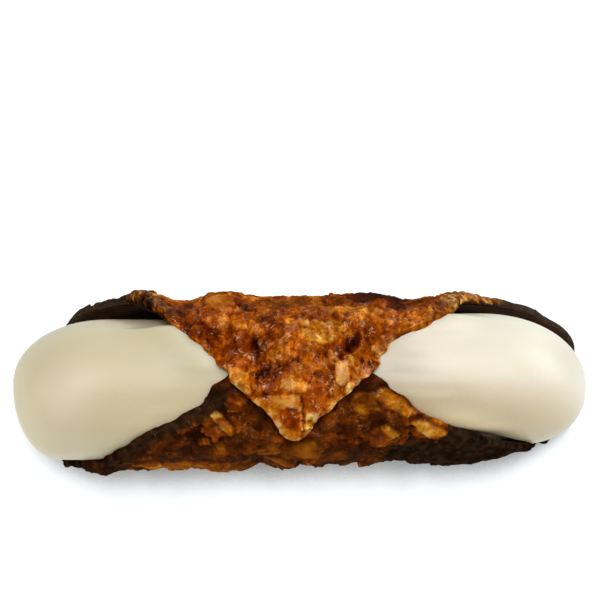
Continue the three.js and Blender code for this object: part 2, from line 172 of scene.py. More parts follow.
UNDER_FLAKES = [
    (-15.2, 10, 0.1, -0.1, 0.35, 0.15),
    (-18.3, 24, -0.1, 0.2, 0.45, 0.2),
    (18.4, 33, 0.28, 0.1, 0.45, 0.15),
    (-4, 68, 0.1, 0.3, 0.3, 0.1),
    (-27, 64, 0, 0.15, 0.35, 0.15),
    (1, 46, 0, 0.1, 0.1, 0.1),
    (22, 12, 0.15, 0.1, 0.3, 0.15),
    (29, 26, 0.2, 0.1, 0.3, 0.2),
    (34, 34, 0.1, 0.1, 0.35, 0.1),
    (-25, 38, -0.2, -0.1, 0, -0.1),
]
FLAKE_SPACING = 6.4
FLAKE_LEAN = 0.2
FLAKE_STEP = 0.45
FLAKE_EDGE = 0.45
FLAKE_WARP = 1.0
BLISTERS = 90
BLISTER_SIZE = (1.6, 3.6)
BLISTER_RISE = 0.3

# Each end's cream: where its tip is, its radius, how far it hangs in the tube and at the tip, how
# far it leans out, its nose's length, lean and sag, and from which angle it fills the mouth.
CREAM = {
    False: dict(
        end=65.2, radius=16.1, down=2.2, tip=0.9, out=0.6, nose=17, lean=5, sag=8,
        fill_from=-62,
    ),
    True: dict(
        end=65.2, radius=14.9, down=-0.4, tip=1.6, out=0.7, nose=19.7, lean=4.7, sag=11,
        fill_from=-74,
    ),
}
CREAM_INSIDE_RADIUS = TUBE_RADIUS + 2
CREAM_SPREAD = (8, 26)
CREAM_TURNED = (0.3, 0.7)
CREAM_SETTLED = 2.0
CREAM_FULLNESS = 2.1
SWELL_OUT = (-1.0, 0.4)
SWELL_MOST = 3.0
FILL_WIDTH = 8
FILL_SETS_IN = 16
FILL_ENDS = (25, 50)
FILL_NOSE = 0.5
CREAM_LEAST = 9

SHEET_RADIUS = TUBE_RADIUS + WALL / 2 + RELIEF_MEAN
AXIS_Z = SHEET_RADIUS - FLAT
MM_PER_DEGREE = math.radians(SHEET_RADIUS)
FLAP_SIDE, UNDER_SIDE = 180, -180  # tau of the seam on each layer
UNDER_FROM = -80  # seam angle from which the layer under the flap reaches the mouth
FLAP_ALONE_TO = -150
COVERED_FROM = -142
COVERED_EDGE = (1.0, 2.6)


def smooth(start, end, t):
    s = np.clip((t - start) / (end - start), 0, 1)
    return s * s * (3 - 2 * s)


def bell(distance, width):
    return np.exp(-((distance / width) ** 2))


def random_from(seed):
    """The part's own sequence of numbers from 0 to 1."""
    state = seed
    while True:
        state = (1664525 * state + 1013904223) & 0xFFFFFFFF
        yield state / 4294967296


def ripples(seed, shortest, longest, count):
    """A soft random field: waves of one range of lengths in all directions."""
    random = random_from(seed)
    waves = []
    for _ in range(count):
        length = shortest + (longest - shortest) * next(random)
        heading = 2 * math.pi * next(random)
        phase = 2 * math.pi * next(random)
        turn = 2 * math.pi / length
        waves.append((turn * math.cos(heading), turn * math.sin(heading), phase))
    share = math.sqrt(2 / count) / 1.4

    def field(x, y):
        return share * sum(np.sin(kx * x + ky * y + phase) for kx, ky, phase in waves)

    return field


chips = ripples(15, 1.8, 4.5, 9)
wobble = {key: ripples(seed, 5, 14, 6) for seed, key in enumerate(EDGE_BENDS, 11)}


def reach_of(tau, right):
    """Half the sheet's length on one side, at tau degrees from its centre line."""
    tau, right = np.broadcast_arrays(np.asarray(tau, float), np.asarray(right, bool))
    result = np.zeros(tau.shape)
    for (on_flap, on_right), bends in EDGE_BENDS.items():
        here = ((tau >= 0) == on_flap) & (right == on_right)
        half = FLAP if on_flap else UNDER
        end = RIGHT_END if on_right else LEFT_END
        size = np.abs(tau[here])
        past = size - half["reach"]
        most = math.hypot(half["reach"], half["corner"]) - half["corner"]
        t = np.clip((np.hypot(size, half["corner"]) - half["corner"]) / most, 0, 1)
        straight = (1 - t ** half["fullness"]) ** (1 / half["fullness"])
        from_tip = np.clip(-past * MM_PER_DEGREE / TIP_BLUNT, 0, 1)
        blunt = TIP_BLUNT * np.sqrt(1 - (1 - from_tip) ** 2)
        near_tip = smooth(0, 4, -past * MM_PER_DEGREE)
        along = tau[here] * MM_PER_DEGREE
        ragged = EDGE_WOBBLE * wobble[on_flap, on_right](along, 0)
        chipped = smooth(70, 95, size) if on_flap else 1
        ragged = ragged + CHIPS * chipped * chips(along, 40 * on_flap + 20 * on_right)
        for at, width, depth in NOTCHES.get((on_flap, on_right), ()):
            ragged = ragged + depth * bell(size - at, width)
        ragged = ragged * smooth(0, 20, size)
        bent = sum(depth * bell(size - at, width) for at, width, depth in bends)
        length = (end - TIP_BLUNT) * straight + blunt + (bent + ragged) * near_tip
        result[here] = np.where(past >= 0, -past * MM_PER_DEGREE, length)
    return result


def shift_of(tau):
    return TIP_SHIFT * smooth(180, FLAP["reach"], tau)


def from_seam(tau):
    return np.where(tau >= 0, tau - FLAP_SIDE, tau - UNDER_SIDE)


def on_sheet(side, degrees):
    """Millimetres round the sheet from its centre line, of an angle from the seam."""
    return (degrees + side) * MM_PER_DEGREE


def both_sides(flap, under):
    """The rows of two lists, each with the side that it is on."""
    return [(FLAP_SIDE, row) for row in flap] + [(UNDER_SIDE, row) for row in under]


def mouth_at(seam, right):
    """Half the length of the mouth's outline, whichever layer reaches on."""
    flap = reach_of(seam + 180, right)
    under = np.where(seam > UNDER_FROM, reach_of(np.minimum(seam - 180, -1e-6), right), -1)
    return np.where(seam < FLAP_ALONE_TO, flap, np.maximum(flap, under))


def swells(places, x, seam):
    total = 0
    for cx, angle, width, height in places:
        turn = (seam - angle + 540) % 360 - 180
        total = total + height * bell(x - cx, width) * bell(turn * MM_PER_DEGREE, SWELL_ROUND)
    return total


slow_waves = ripples(21, 22, 50, 7)


def bent_by(x, seam):
    share = np.where(x < 0, FLARE[False], FLARE[True])
    off_floor = smooth(FLARE_CLEAR_FROM, FLARE_CLEAR_TO, 180 - np.abs(seam))
    flare = share * smooth(FLARE_FROM, FLARE_TO, np.abs(x)) * off_floor
    waves = WAVE_HEIGHT * slow_waves(x, SHEET_RADIUS * np.sin(np.radians(seam)))
    return flare + waves + swells(PRESSED, x, seam)


def climb_at(x, tau):
    past = np.abs(x) - reach_of(np.minimum(tau - 360, -1e-6), x >= 0)
    return np.where(tau < 90, 0, LIFT * (1 - smooth(DRAPE[0], DRAPE[1], past)))


def bore_at(x, seam):
    return TUBE_RADIUS - WALL / 2 + bent_by(x, seam) + 0.5 * np.minimum(0, swells(SWELLS, x, seam))


def scatter_flakes():
    """Every flake: place on the flat sheet, two slopes, height, size and tone."""
    random = random_from(31)
    tones = random_from(77)
    flakes = []
    for side, (x, seam, lean_x, lean_round, height, tone) in both_sides(FLAKES, UNDER_FLAKES):
        flakes.append((x, on_sheet(side, seam), lean_x, lean_round, height, 1.0, tone))
    named = list(flakes)
    most = FLAP["reach"] * MM_PER_DEGREE
    y = -most
    while y < most:
        x = -RIGHT_END
        while x < RIGHT_END:
            px = x + FLAKE_SPACING * (next(random) - 0.5) * 1.1
            py = y + FLAKE_SPACING * (next(random) - 0.5) * 1.1
            lean_x = FLAKE_LEAN * (2 * next(random) - 1)
            lean_round = FLAKE_LEAN * (2 * next(random) - 1)
            height = FLAKE_STEP * (2 * next(random) - 1)
            size = 0.75 + 0.5 * next(random)
            tone = 0.36 * (next(tones) - 0.5)
            if all(math.hypot(px - f[0], py - f[1]) >= 0.75 * FLAKE_SPACING for f in named):
                flakes.append((px, py, lean_x, lean_round, height, size, tone))
            x += FLAKE_SPACING
        y += FLAKE_SPACING
    return np.array(flakes)


def scatter_blisters():
    random = random_from(32)
    most = FLAP["reach"] * MM_PER_DEGREE
    blisters = []
    for _ in range(BLISTERS):
        x = RIGHT_END * (2 * next(random) - 1)
        y = most * (2 * next(random) - 1)
        radius = BLISTER_SIZE[0] + (BLISTER_SIZE[1] - BLISTER_SIZE[0]) * next(random) ** 2
        blisters.append((x, y, radius))
    return blisters


warp_x = ripples(41, 3.5, 9, 8)
warp_y = ripples(42, 3.5, 9, 8)


def nearest_two(x, y, cells, size):
    """Numbers of and distances to the two nearest cells."""
    picked = np.zeros((len(x), 2), int)
    distance = np.zeros((len(x), 2))
    for start in range(0, len(x), 4000):
        part = slice(start, start + 4000)
        gap = np.hypot(x[part, None] - cells[None, :, 0], y[part, None] - cells[None, :, 1])
        gap = gap / size[None, :]
        two = np.argpartition(gap, 1, axis=1)[:, :2]
        far = np.take_along_axis(gap, two, 1)
        order = np.argsort(far, axis=1)
        picked[part] = np.take_along_axis(two, order, 1)
        distance[part] = np.take_along_axis(far, order, 1)
    return picked, distance


def bumps(x, y, spots, rise, power):
    """Round bumps, or pits where rise is below zero."""
    total = np.zeros(len(x))
    order = np.argsort(x)
    xs = x[order]
    for bx, by, radius in spots:
        a, b = np.searchsorted(xs, (bx - radius, bx + radius))
        near = order[a:b]
        d2 = ((x[near] - bx) ** 2 + (y[near] - by) ** 2) / radius**2
        total[near] += rise * radius * np.clip(1 - d2, 0, 1) ** power
    return total


def plates(x, y, cells, edge):
    """Height and tone of plates, and how strongly a place is a raised edge or a gap."""
    picked, distance = nearest_two(x, y, cells, cells[:, 5])
    tops = []
    for k in range(2):
        cell = cells[picked[:, k]]
        tops.append(cell[:, 4] + cell[:, 2] * (x - cell[:, 0]) + cell[:, 3] * (y - cell[:, 1]))
    between = distance[:, 1] - distance[:, 0]
    own = 0.5 + 0.5 * smooth(0, edge, between)
    height = own * tops[0] + (1 - own) * tops[1]
    tone = own * cells[picked[:, 0], 6] + (1 - own) * cells[picked[:, 1], 6]
    step = tops[0] - tops[1]
    return height, tone, between, step


def cloud(x, y, scale, octaves, z=0.0):
    """Fractal noise over the flat sheet, about -1 to 1."""
    points = np.stack([x / scale, y / scale, np.full(len(x), z)], 1).tolist()
    return np.array([noise.fractal(p, 0.8, 2.0, octaves) for p in points])


# ---- Detail that only the visual model has -----------------------------------------------------

# Slits and folds in the crust: from x and degrees from the seam, to x and degrees, width, height.
FLAP_FOLDS = [
    (-10.4, -41, -9.8, -22, 0.75, -0.4),
    (-9.8, -22, -8.9, -3, 0.6, -0.35),
    (-6.6, -46, -6.2, -18, 0.5, -0.2),
    (-2.9, -42, -2.4, -12, 0.7, 0.3),
    (-1.6, -40, -1.8, -10, 0.4, -0.25),
    (-0.5, -38, -0.9, -14, 0.6, 0.25),
    (6.6, -60, 19, -62, 0.5, -0.35),
    (8, -68, 22, -74, 0.6, -0.35),
    (-10.5, 3, 0.4, 3, 0.5, -0.3),
    (0.9, 4, 0.9, 27, 0.5, -0.4),
    (0.9, 3, 9.6, -1, 0.5, -0.2),
    (-16.5, -42, -10.8, -39, 0.5, -0.35),
]
UNDER_FOLDS = [
    (-6.5, 39, 5.5, 37, 0.5, -0.3),
    (-36, 58, -18, 62, 0.5, -0.3),
]


def patch(corners, rise, tone, red, rim=0, calm=0, lean=(0, 0)):
    """A flake that stands out: corners as (x, degrees from the seam), height, change of tone and
    of redness, tone of its edge, how smooth it is, and its slopes along x and round the tube.
    Below zero, calm takes smoothness away."""
    return corners, rise, tone, red, rim, calm, lean


FLAP_PATCHES = [
    patch([(-11.2, 6), (-6, 3), (0, 3), (0.6, 18), (0.6, 28), (-1.5, 34), (-6.5, 25)],
          0.3, 0.18, -0.1, rim=0.2, calm=0.6, lean=(-0.03, 0.05)),
    patch([(-5, 11), (-1, 10), (0.2, 13), (0.2, 24), (-3.4, 25)], -0.15, -0.26, 0.9, calm=0.6),
    patch([(-5.6, 4.5), (-0.4, 4), (-0.2, 11), (-3, 10), (-5, 8)], 0.05, 0.14, -0.2, calm=0.3),
    patch([(0.9, -3), (6, -4), (6, 2), (5, 12), (2.5, 18), (1, 18)],
          0.2, 0.08, 0.5, rim=0.1, calm=0.7, lean=(0.06, 0.03)),
    patch([(1.5, 13), (4.5, 13), (3.5, 20), (1, 28)], 0.15, 0.38, -0.6, rim=0.16, lean=(0, 0.05)),
    patch([(-4.2, -6), (0.5, -5), (3, -2), (0.5, 1), (-4.5, -1)],
          0.15, 0.18, -0.1, rim=0.1, calm=0.2),
    patch([(8, -16), (10.5, -17), (11, -6), (9.5, -3), (8, -4)],
          0.45, 0.47, 0.4, rim=0.1, calm=0.65, lean=(0.06, 0)),
    patch([(10.5, -6.5), (12, -4), (11.4, 1), (11, 5), (10, 2)], 0.25, 0.24, -0.3, rim=0.1),
    patch([(6.5, -24), (9, -24), (8.4, -17), (6.5, -17)], 0.2, 0.1, -0.3, calm=0.5),
    patch([(-15.8, -13), (-14, -13.5), (-10.6, -11), (-11.4, -6), (-10.6, 3), (-13.4, 1),
           (-15, -6)],
          0.3, 0.14, 0, rim=0.1, calm=0.2, lean=(-0.04, 0.05)),
    patch([(-15.5, -55), (-12.6, -56), (-11.6, -40), (-15, -39)],
          0.4, 0.05, 0.5, rim=0.05, calm=0.6, lean=(0, 0.03)),
    patch([(-15.2, -43), (-11.6, -44), (-11.5, -40), (-15, -39)], 0.1, 0.14, -0.2, calm=0.2),
    patch([(-21.5, -80), (-15.5, -80), (-14, -66), (-16, -57), (-21.5, -61)],
          0.25, 0.12, 0.1, rim=0.08, calm=0.6),
    patch([(-15.4, -38), (-11, -38), (-10.5, -17), (-12.5, -12), (-15.2, -16), (-16, -25)],
          0.1, -0.05, 0.5, calm=0.5, lean=(0.05, 0)),
    patch([(-10.6, -37), (-9, -32), (-8, -10), (-9.4, -4), (-11, -14)], -0.15, -0.2, 0.3),
    patch([(-8.2, -20), (-2.6, -15), (-4.8, -5), (-9, -5)], -0.15, -0.12, 0.3),
    patch([(-3.5, -46), (-0.6, -44), (0.4, -30), (-0.6, -17), (-3, -20)],
          0.2, 0.05, 0.3, rim=0.04),
    patch([(0, -51), (9.5, -51), (12, -38), (5, -29), (0.5, -30)], 0, 0.26, -0.5, calm=-0.4),
    patch([(11, -30), (16, -28), (16, -14), (12, -13)], 0, 0.07, -0.4),
    patch([(6, -61), (10.5, -66), (18, -61), (19.2, -59), (16.5, -54), (12, -57), (7, -58)],
          0.25, 0.2, -0.2, rim=0.1, calm=0.5, lean=(0, 0.04)),
    patch([(9, -84), (12, -98), (24, -99), (25, -80), (23.5, -63), (18, -64), (13, -69)],
          0, -0.3, 0.9, rim=0.06, calm=0.9),
    patch([(9.5, -38), (13, -38), (13.6, -29), (11.5, -24), (9, -29)],
          -0.22, -0.16, 0.3, calm=0.2),
    patch([(20, -39), (23, -47), (28, -56), (31, -56), (27, -46), (23.5, -39)],
          0.15, 0, 0, rim=0.08, calm=0.2),
    patch([(-8, -75), (2, -78), (8, -76), (8, -66), (-6, -64)], 0.1, 0, -0.7, rim=0.06, calm=0.4),
    patch([(-37, -84), (-30, -88), (-29, -80), (-35, -78)], 0.15, 0.2, 0, rim=0.1),
    patch([(32, -88), (40, -92), (44, -86), (36, -82)], 0.1, 0.1, 0),
    patch([(22, -58), (30, -64), (34, -74), (30, -90), (22, -90)], 0, -0.16, -0.3, calm=0.3),
    patch([(31, -66), (36, -70), (38, -84), (33, -88), (31, -78)], 0, 0.16, -0.4, calm=-0.3),
    patch([(-30, -72), (-22, -74), (-19, -56), (-17, -38), (-20, -34), (-26, -52)],
          0, -0.12, 0.3, calm=0.2),
    patch([(-28, -54), (-22, -50), (-18, -36), (-19, -28), (-24, -36)], 0, -0.16, 0.3),
    patch([(-36, -80), (-30, -78), (-27, -64), (-31, -60), (-35, -68)], 0, -0.16, -0.3),
]
UNDER_PATCHES = [
    patch([(12, 3), (19, 1), (17, 8), (18, 15), (14, 18), (11, 12)], 0, 0.3, -0.9, calm=-0.6),
    patch([(-17, 8), (-15.4, 6), (-13, 9), (-11.6, 12), (-13, 15), (-15.5, 15), (-16.4, 14)],
          0.5, -0.16, 0.1, rim=0.4, calm=0.6, lean=(0, 0.05)),
    patch([(-19.8, 16), (-18.2, 15), (-16.4, 20), (-14.8, 26), (-15, 34), (-16.6, 29), (-19, 22)],
          0.55, 0.22, 0.1, rim=0.3, calm=0.6),
    patch([(-20.4, 15.5), (-18, 14), (-17, 18.5), (-19.6, 20.5)], 0.1, 0.38, -0.3, calm=0.3),
    patch([(18, 25), (19.6, 24), (22.4, 30), (20, 35), (18, 42), (15, 40), (13.5, 35), (16.5, 29)],
          0.45, 0.06, 0.1, rim=0.24, calm=0.6, lean=(0.04, 0)),
    patch([(17.4, 25.5), (19.6, 24), (22.8, 30), (20.8, 33.5), (19, 29)], 0.1, 0.36, -0.6),
    patch([(-2.4, 44), (2.5, 38), (5.2, 45), (6, 54), (0.5, 58), (-2.6, 52)],
          0.15, 0.08, -0.5, rim=0.05, calm=0.8),
    patch([(17.5, -1), (20, 1), (23.5, 10), (27, 18), (24.5, 20), (20.5, 14), (17.6, 8)],
          0.2, 0.38, -0.1, calm=-0.6),
    patch([(26.5, 22), (30, 26), (33.5, 33), (30, 37), (26.5, 30), (24.6, 24)],
          0.35, 0.42, 0, rim=0.1, calm=-0.4),
    patch([(-23, 39), (-20.5, 37), (-20, 42), (-22.5, 43)], 0.2, 0.3, 0, rim=0.1),
    patch([(-38, 66), (-24, 62), (-11, 64), (-10, 80), (-26, 84), (-37, 78)],
          0.1, 0.25, -0.4, rim=0.1),
    patch([(-7, 40), (6, 40), (6, 54), (0, 74), (-8, 76), (-9, 56)], 0, 0.07, 0),
    patch([(-8.5, 62), (-1, 66), (-1, 71), (-8, 68)], 0.25, 0.2, -0.2, rim=0.1, calm=0.4),
    patch([(-10, 57), (-6.5, 50), (-3.8, 49), (-6, 57), (-9, 61)],
          0.25, 0.14, -0.4, rim=0.1, calm=0.5),
]
PATCH_JAGS = 0.22  # how far a patch's outline strays
PATCH_RISE = 1.5

# Small pits, painted dark as painted shade: x, degrees from the seam, radius.
FLAP_HOLES = [
    (7, -13, 0.7),
    (9.2, -19.5, 0.8),
    (9.4, 0.2, 1.1),
    (10.4, -55, 0.6),
    (4.4, -57, 0.5),
    (13.8, -17, 0.6),
]
UNDER_HOLES = [
    (10.2, 38, 0.7),
    (5.4, 52, 0.7),
    (8.6, 33, 0.6),
    (-9, 44, 0.6),
]

FINE_SPACING = 2.4
FINE_LEAN = 0.22
FINE_STEP = 0.12
FINE_TONE = 0.2
FINE_EDGE = 0.3
BUBBLES = 2600
PITS = 900
BASE_TONE = 0.51
UNDER_DARKER = 0.28


def line_profile(x, y, side, fold):
    x0, s0, x1, s1, width, depth = fold
    a = np.array([x0, on_sheet(side, s0)])
    along = np.array([x1, on_sheet(side, s1)]) - a
    t = np.clip(((x - a[0]) * along[0] + (y - a[1]) * along[1]) / (along @ along), 0, 1)
    off = np.hypot(x - a[0] - t * along[0], y - a[1] - t * along[1])
    ends = 0.35 + 0.65 * np.sin(np.pi * np.clip(t, 0.02, 0.98))
    return depth * ends * bell(off, width)


def distance_inside(x, y, corners):
    """Distance to the edge of a flat outline, below zero outside it."""
    nearest = np.full(len(x), np.inf)
    inside = np.zeros(len(x), bool)
    for (ax, ay), (bx, by) in zip(corners, corners[1:] + corners[:1]):
        length = (bx - ax) ** 2 + (by - ay) ** 2
        t = np.clip(((x - ax) * (bx - ax) + (y - ay) * (by - ay)) / length, 0, 1)
        nearest = np.minimum(nearest, np.hypot(x - ax - t * (bx - ax), y - ay - t * (by - ay)))
        crosses = (ay > y) != (by > y)
        inside ^= crosses & (x < ax + (y - ay) * (bx - ax) / (by - ay if by != ay else 1))
    return np.where(inside, nearest, -nearest)


def fine_detail(x, y, jag_x, jag_y, mottled, broken, under):
    """Height and tone of the small flakes, bubbles, pits and grain."""
    rng = np.random.default_rng(7)
    length = FLAP["reach"] * MM_PER_DEGREE
    count = int(4 * RIGHT_END * length / FINE_SPACING**2)
    fine = np.column_stack([
        RIGHT_END * rng.uniform(-1, 1, count),
        length * rng.uniform(-1, 1, count),
        rng.uniform(-FINE_LEAN, FINE_LEAN, (count, 2)),
        rng.uniform(-FINE_STEP, FINE_STEP, count),
        rng.uniform(0.7, 1.3, count),
        rng.uniform(-FINE_TONE, FINE_TONE, count),
    ])
    top, tone, between, step = plates(x + 0.6 * jag_y, y + 0.6 * jag_x, fine, FINE_EDGE)
    count = BUBBLES + PITS
    along = RIGHT_END * rng.uniform(-1, 1, count)
    around = length * rng.uniform(-1, 1, count)
    spots = np.stack([along, around, 0.35 + 0.75 * rng.uniform(0, 1, count) ** 2.5], 1)
    bubbly = 0.35 + 0.65 * smooth(-0.25, 0.35, cloud(x, y, 8, 2, 50.0))
    bubbles = bumps(x, y, spots[:BUBBLES], 0.42, 1.0) * bubbly
    pits = bumps(x, y, spots[BUBBLES:], -0.55, 1.0) * bubbly
    grain = cloud(x, y, 0.95, 2, 60.0)
    streaks = cloud(x, 0.35 * y, 1.1, 3, 40.0)
    edge = np.exp(-between / 0.25) * broken
    # Bubbles and the high side of steps are painted pale, as painted highlights; pits and the low
    # side of steps are painted dark, as painted shade.
    value = 0.5 * tone + 0.3 * bubbles + 0.4 * pits
    value += 0.1 * edge * smooth(0.0, 0.2, step)
    value -= 0.1 * edge * smooth(0.0, 0.2, -step)
    value += 0.08 * mottled + 0.12 * grain + 0.14 * streaks * (1 - under)
    rough = 0.6 * top + bubbles + pits + 0.2 * mottled + 0.12 * grain + 0.1 * streaks
    return rough, value


def patches_and_holes(x, y, jag_x, jag_y, broken):
    """What they add to height, tone and redness, how smooth a place is, and if it's in no hole."""
    lifted, toned, redder, smoothed = np.zeros((4, len(x)))
    for side, row in both_sides(FLAP_PATCHES, UNDER_PATCHES):
        corners, rise, tone, red, rim, calm, lean = row
        outline = [(cx, on_sheet(side, angle)) for cx, angle in corners]
        middle_x, middle_y = np.mean(outline, axis=0)
        depth = distance_inside(x + PATCH_JAGS * jag_x, y + PATCH_JAGS * jag_y, outline)
        soft = smooth(-0.3, 0.5, depth)
        slope = lean[0] * (x - middle_x) + lean[1] * (y - middle_y)
        lifted += (PATCH_RISE * rise + slope) * smooth(-0.1, 0.2, depth)
        toned += tone * soft + rim * bell(depth - 0.2, 0.3) * broken
        # Painted shade: a dark line round the foot of each raised patch.
        toned -= 0.3 * max(rise, 0) * bell(depth + 0.3, 0.3)
        redder += red * soft
        if calm < 0:
            smoothed = np.maximum(0, smoothed + calm * soft)
        else:
            smoothed = np.maximum(smoothed, calm * soft)
    open_air = np.ones(len(x))
    for side, (cx, angle, radius) in both_sides(FLAP_HOLES, UNDER_HOLES):
        away = np.hypot(x - cx, y - on_sheet(side, angle)) / radius + 0.2 * jag_x
        hole = 1 - smooth(0.5, 1.15, away)
        lifted -= 0.4 * radius * hole
        # Holes are painted dark, as painted shade, and open_air keeps the glaze and the painted
        # glints out of them.
        toned -= 0.24 * hole
        open_air = open_air * (1 - hole)
    return lifted, toned, redder, smoothed, open_air


def crust_surface(x, tau):
    """Height of the crags, tone with painted highlight and shade, redness, shine and painted
    glints, and crispness at places on the flat sheet.
    """
    y = tau * MM_PER_DEGREE
    seam = from_seam(tau)
    under = smooth(-70, -105, tau)
    wx = x + FLAKE_WARP * warp_x(x, y)
    wy = y + FLAKE_WARP * warp_y(x, y)
    jag_x = cloud(x, y, 1.5, 3, 3.1)
    jag_y = cloud(x, y, 1.5, 3, 8.7)
    patchy = cloud(x, y, 5.0, 3, 2.2)
    mottled = cloud(x, y, 2.0, 3, 31.0)
    height, tone, between, step = plates(
        wx + 0.4 * jag_x, wy + 0.4 * jag_y, scatter_flakes(), FLAKE_EDGE
    )
    height = height + bumps(x, y, scatter_blisters(), BLISTER_RISE, 1.5)
    # Painted highlight and shade: raised edges and high places are painted pale, gaps and hollows
    # and the low side of steps painted dark. Edges fade in and out.
    broken = smooth(-0.3, 0.35, mottled)
    edge = np.exp(-between / 0.4) * broken
    value = BASE_TONE + 0.5 * tone + 0.08 * np.clip(height, -1, 1) + 0.2 * patchy
    value += 0.2 * edge * smooth(0.05, 0.5, step) - 0.24 * edge * smooth(0.05, 0.5, -step)

    rough, fine_value = fine_detail(x, y, jag_x, jag_y, mottled, broken, under)
    lifted, toned, redder, smoothed, open_air = patches_and_holes(x, y, jag_x, jag_y, broken)
    red = 0.6 * cloud(x, y, 4.0, 3, 14.0) + 0.15 - 0.65 * under + redder
    folds = sum(
        line_profile(x + 0.5 * jag_x, y + 0.3 * jag_y, side, fold)
        for side, fold in both_sides(FLAP_FOLDS, UNDER_FOLDS)
    )
    value += toned + fine_value * (1 - 0.75 * smoothed) * (1 - 0.25 * under)
    # Slits are painted dark, as painted shade, and raised folds pale, as painted highlights.
    value += np.where(folds < 0, 0.35 * folds, 0.4 * folds)
    height = np.clip(height, -1.1, 1.5) + rough * (1 - 0.7 * smoothed) * (1 - 0.35 * under)
    height = height + folds + lifted

    # The flap's free edge is thin and pale, and painted shade darkens the layer under it along that
    # edge, as if cast by the flap.
    past = np.abs(x - shift_of(tau + 360)) - reach_of(np.maximum(tau + 360, 0), x >= 0)
    shade_along_edge = bell(np.maximum(past, 0), 2.4) * (tau < COVERED_FROM)
    value -= UNDER_DARKER * under + 0.12 * shade_along_edge
    value -= 0.12 * smooth(62, 74, seam) * (1 - smooth(95, 115, seam)) * smooth(-14, -6, x)
    to_edge = reach_of(np.maximum(tau, 0), x >= 0) - np.abs(x - shift_of(tau))
    arm = (x > 0) & (seam < -25)
    thin = bell(to_edge, np.where(arm, 1.5, 0.9)) * (tau > 90)
    thin = thin * np.where(x > 0, smooth(-85, -65, seam), smooth(-40, -10, seam))
    red -= 0.6 * thin * arm
    value += 0.2 * thin * broken
    value += crumb_tone(x, turned_rim(tau, to_edge), jag_y)
    # Tiny painted highlights, pale glints mixed into the colour, gather in some places, most on the
    # flap's sides that face up, where the glaze also shines.
    gathered = smooth(-0.25, 0.45, cloud(x, y, 3.2, 3, 70.0)) * (1 - 0.4 * under)
    facing_up = smooth(-80, -40, seam) * (1 - smooth(25, 50, seam))
    glossy = gathered * smooth(0.1, 0.35, value) * np.where(np.abs(seam) < 100, facing_up, 0.4)
    glossy = glossy * (1 - 0.5 * under) * open_air
    crisp = (1 - 0.75 * smoothed) * (1 - 0.4 * under)
    return height, value, red, glossy, crisp, jag_x, jag_y


def chocolate_mask(x, tau, fray):
    """Where chocolate has been brushed over the crust's rim and outside."""
    seam = from_seam(tau)
    right = x >= 0
    size = np.abs(tau)
    inside = (reach_of(tau, right) - np.abs(x - shift_of(tau))) * 0.75
    wander = 1.6 * fray
    under = tau < 0
    band = 1 - smooth(2.9, 3.7, inside + wander)
    left_rim = 0.9 * band * (under & ~right) * smooth(-186, -178, tau)
    wide_band = 1 - smooth(5.0, 7.0, inside + wander)
    low = np.where(under, 1 - smooth(92, 118, size), 1 - smooth(50, 110, size))
    low_left = wide_band * ~right * low
    low_left = np.maximum(low_left, band * ~right * (1 - smooth(82, 92, size)))
    edge = np.interp(x, (17, 22, 27, 31, 36), (62, 40, 40, 37, 18))
    start = np.interp(seam, (40, 52, 62, 72, 80, 92, 104, 116), (19, 17, 16, 18, 15.5, 18, 22, 20))
    burnt = smooth(0, 3, x - start + 1.6 * wander) * smooth(-1.5, 1.5, seam - edge + 8 * fray)
    burnt = burnt * under * (1 - smooth(112, 140, seam))
    low_right = (1 - smooth(1.6, 2.8, inside + wander)) * right * (1 - smooth(66, 80, size))
    far = far_rim_mask(x, tau) * (1 - smooth(2.2, 3.4, inside + 0.5 * wander))
    clung = turned_rim(tau, inside) * (1 - smooth(0.7, 1.6, inside + 2.5 * wander))
    clung = clung * np.where(right, 0.4, 0.75)
    return np.clip(np.maximum.reduce([left_rim, low_left, burnt, low_right, far, clung]), 0, 1)


def turned_rim(tau, to_edge):
    """Beside the far rims the flap's edge is turned over, and crumbs and chocolate cling to it."""
    along = smooth(62, 74, tau) * (1 - smooth(108, 126, tau))
    return along * (1 - smooth(2.5, 4.5, to_edge))


def crumb_tone(x, turned, noise):
    return turned * (0.4 * smooth(-0.15, 0.25, noise) - np.where(x < 0, 0.19, 0.13))


def far_rim_mask(x, tau):
    """The far rims are dipped in chocolate."""
    left = (x < 0) * (tau > -20) * (1 - smooth(78, 92, tau))
    right = (x > 0) * (tau > -20) * (1 - smooth(62, 84, tau))
    return np.clip(left + right, 0, 1)


# ---- Colours -----------------------------------------------------------------------------------


def linear(r, g, b):
    """Linear colour of an sRGB one given as 0 to 255."""
    c = np.array([r, g, b]) / 255
    return np.where(c <= 0.04045, c / 12.92, ((c + 0.055) / 1.055) ** 2.4)


CRUST_TONES = [
    (0.00, linear(30, 8, 1)),
    (0.16, linear(62, 20, 2)),
    (0.32, linear(102, 42, 1)),
    (0.48, linear(148, 66, 2)),
    (0.62, linear(182, 94, 7)),
    (0.76, linear(210, 126, 26)),
    (0.88, linear(224, 158, 72)),
    (1.00, linear(242, 192, 114)),
]
CHOCOLATE_DARK = linear(24, 15, 9)
CHOCOLATE_PALE = linear(58, 40, 27)
# Smooth chocolate, painted paler and greyer as a painted sheen.
CHOCOLATE_WITH_SHEEN = linear(64, 51, 41)
# A pale pinkish tan, for painted glints.
PAINTED_GLINT = linear(238, 176, 124)
# A pale grey-brown, for painted sheen and for clinging crumbs.
DUST_AND_SHEEN = linear(150, 110, 80)


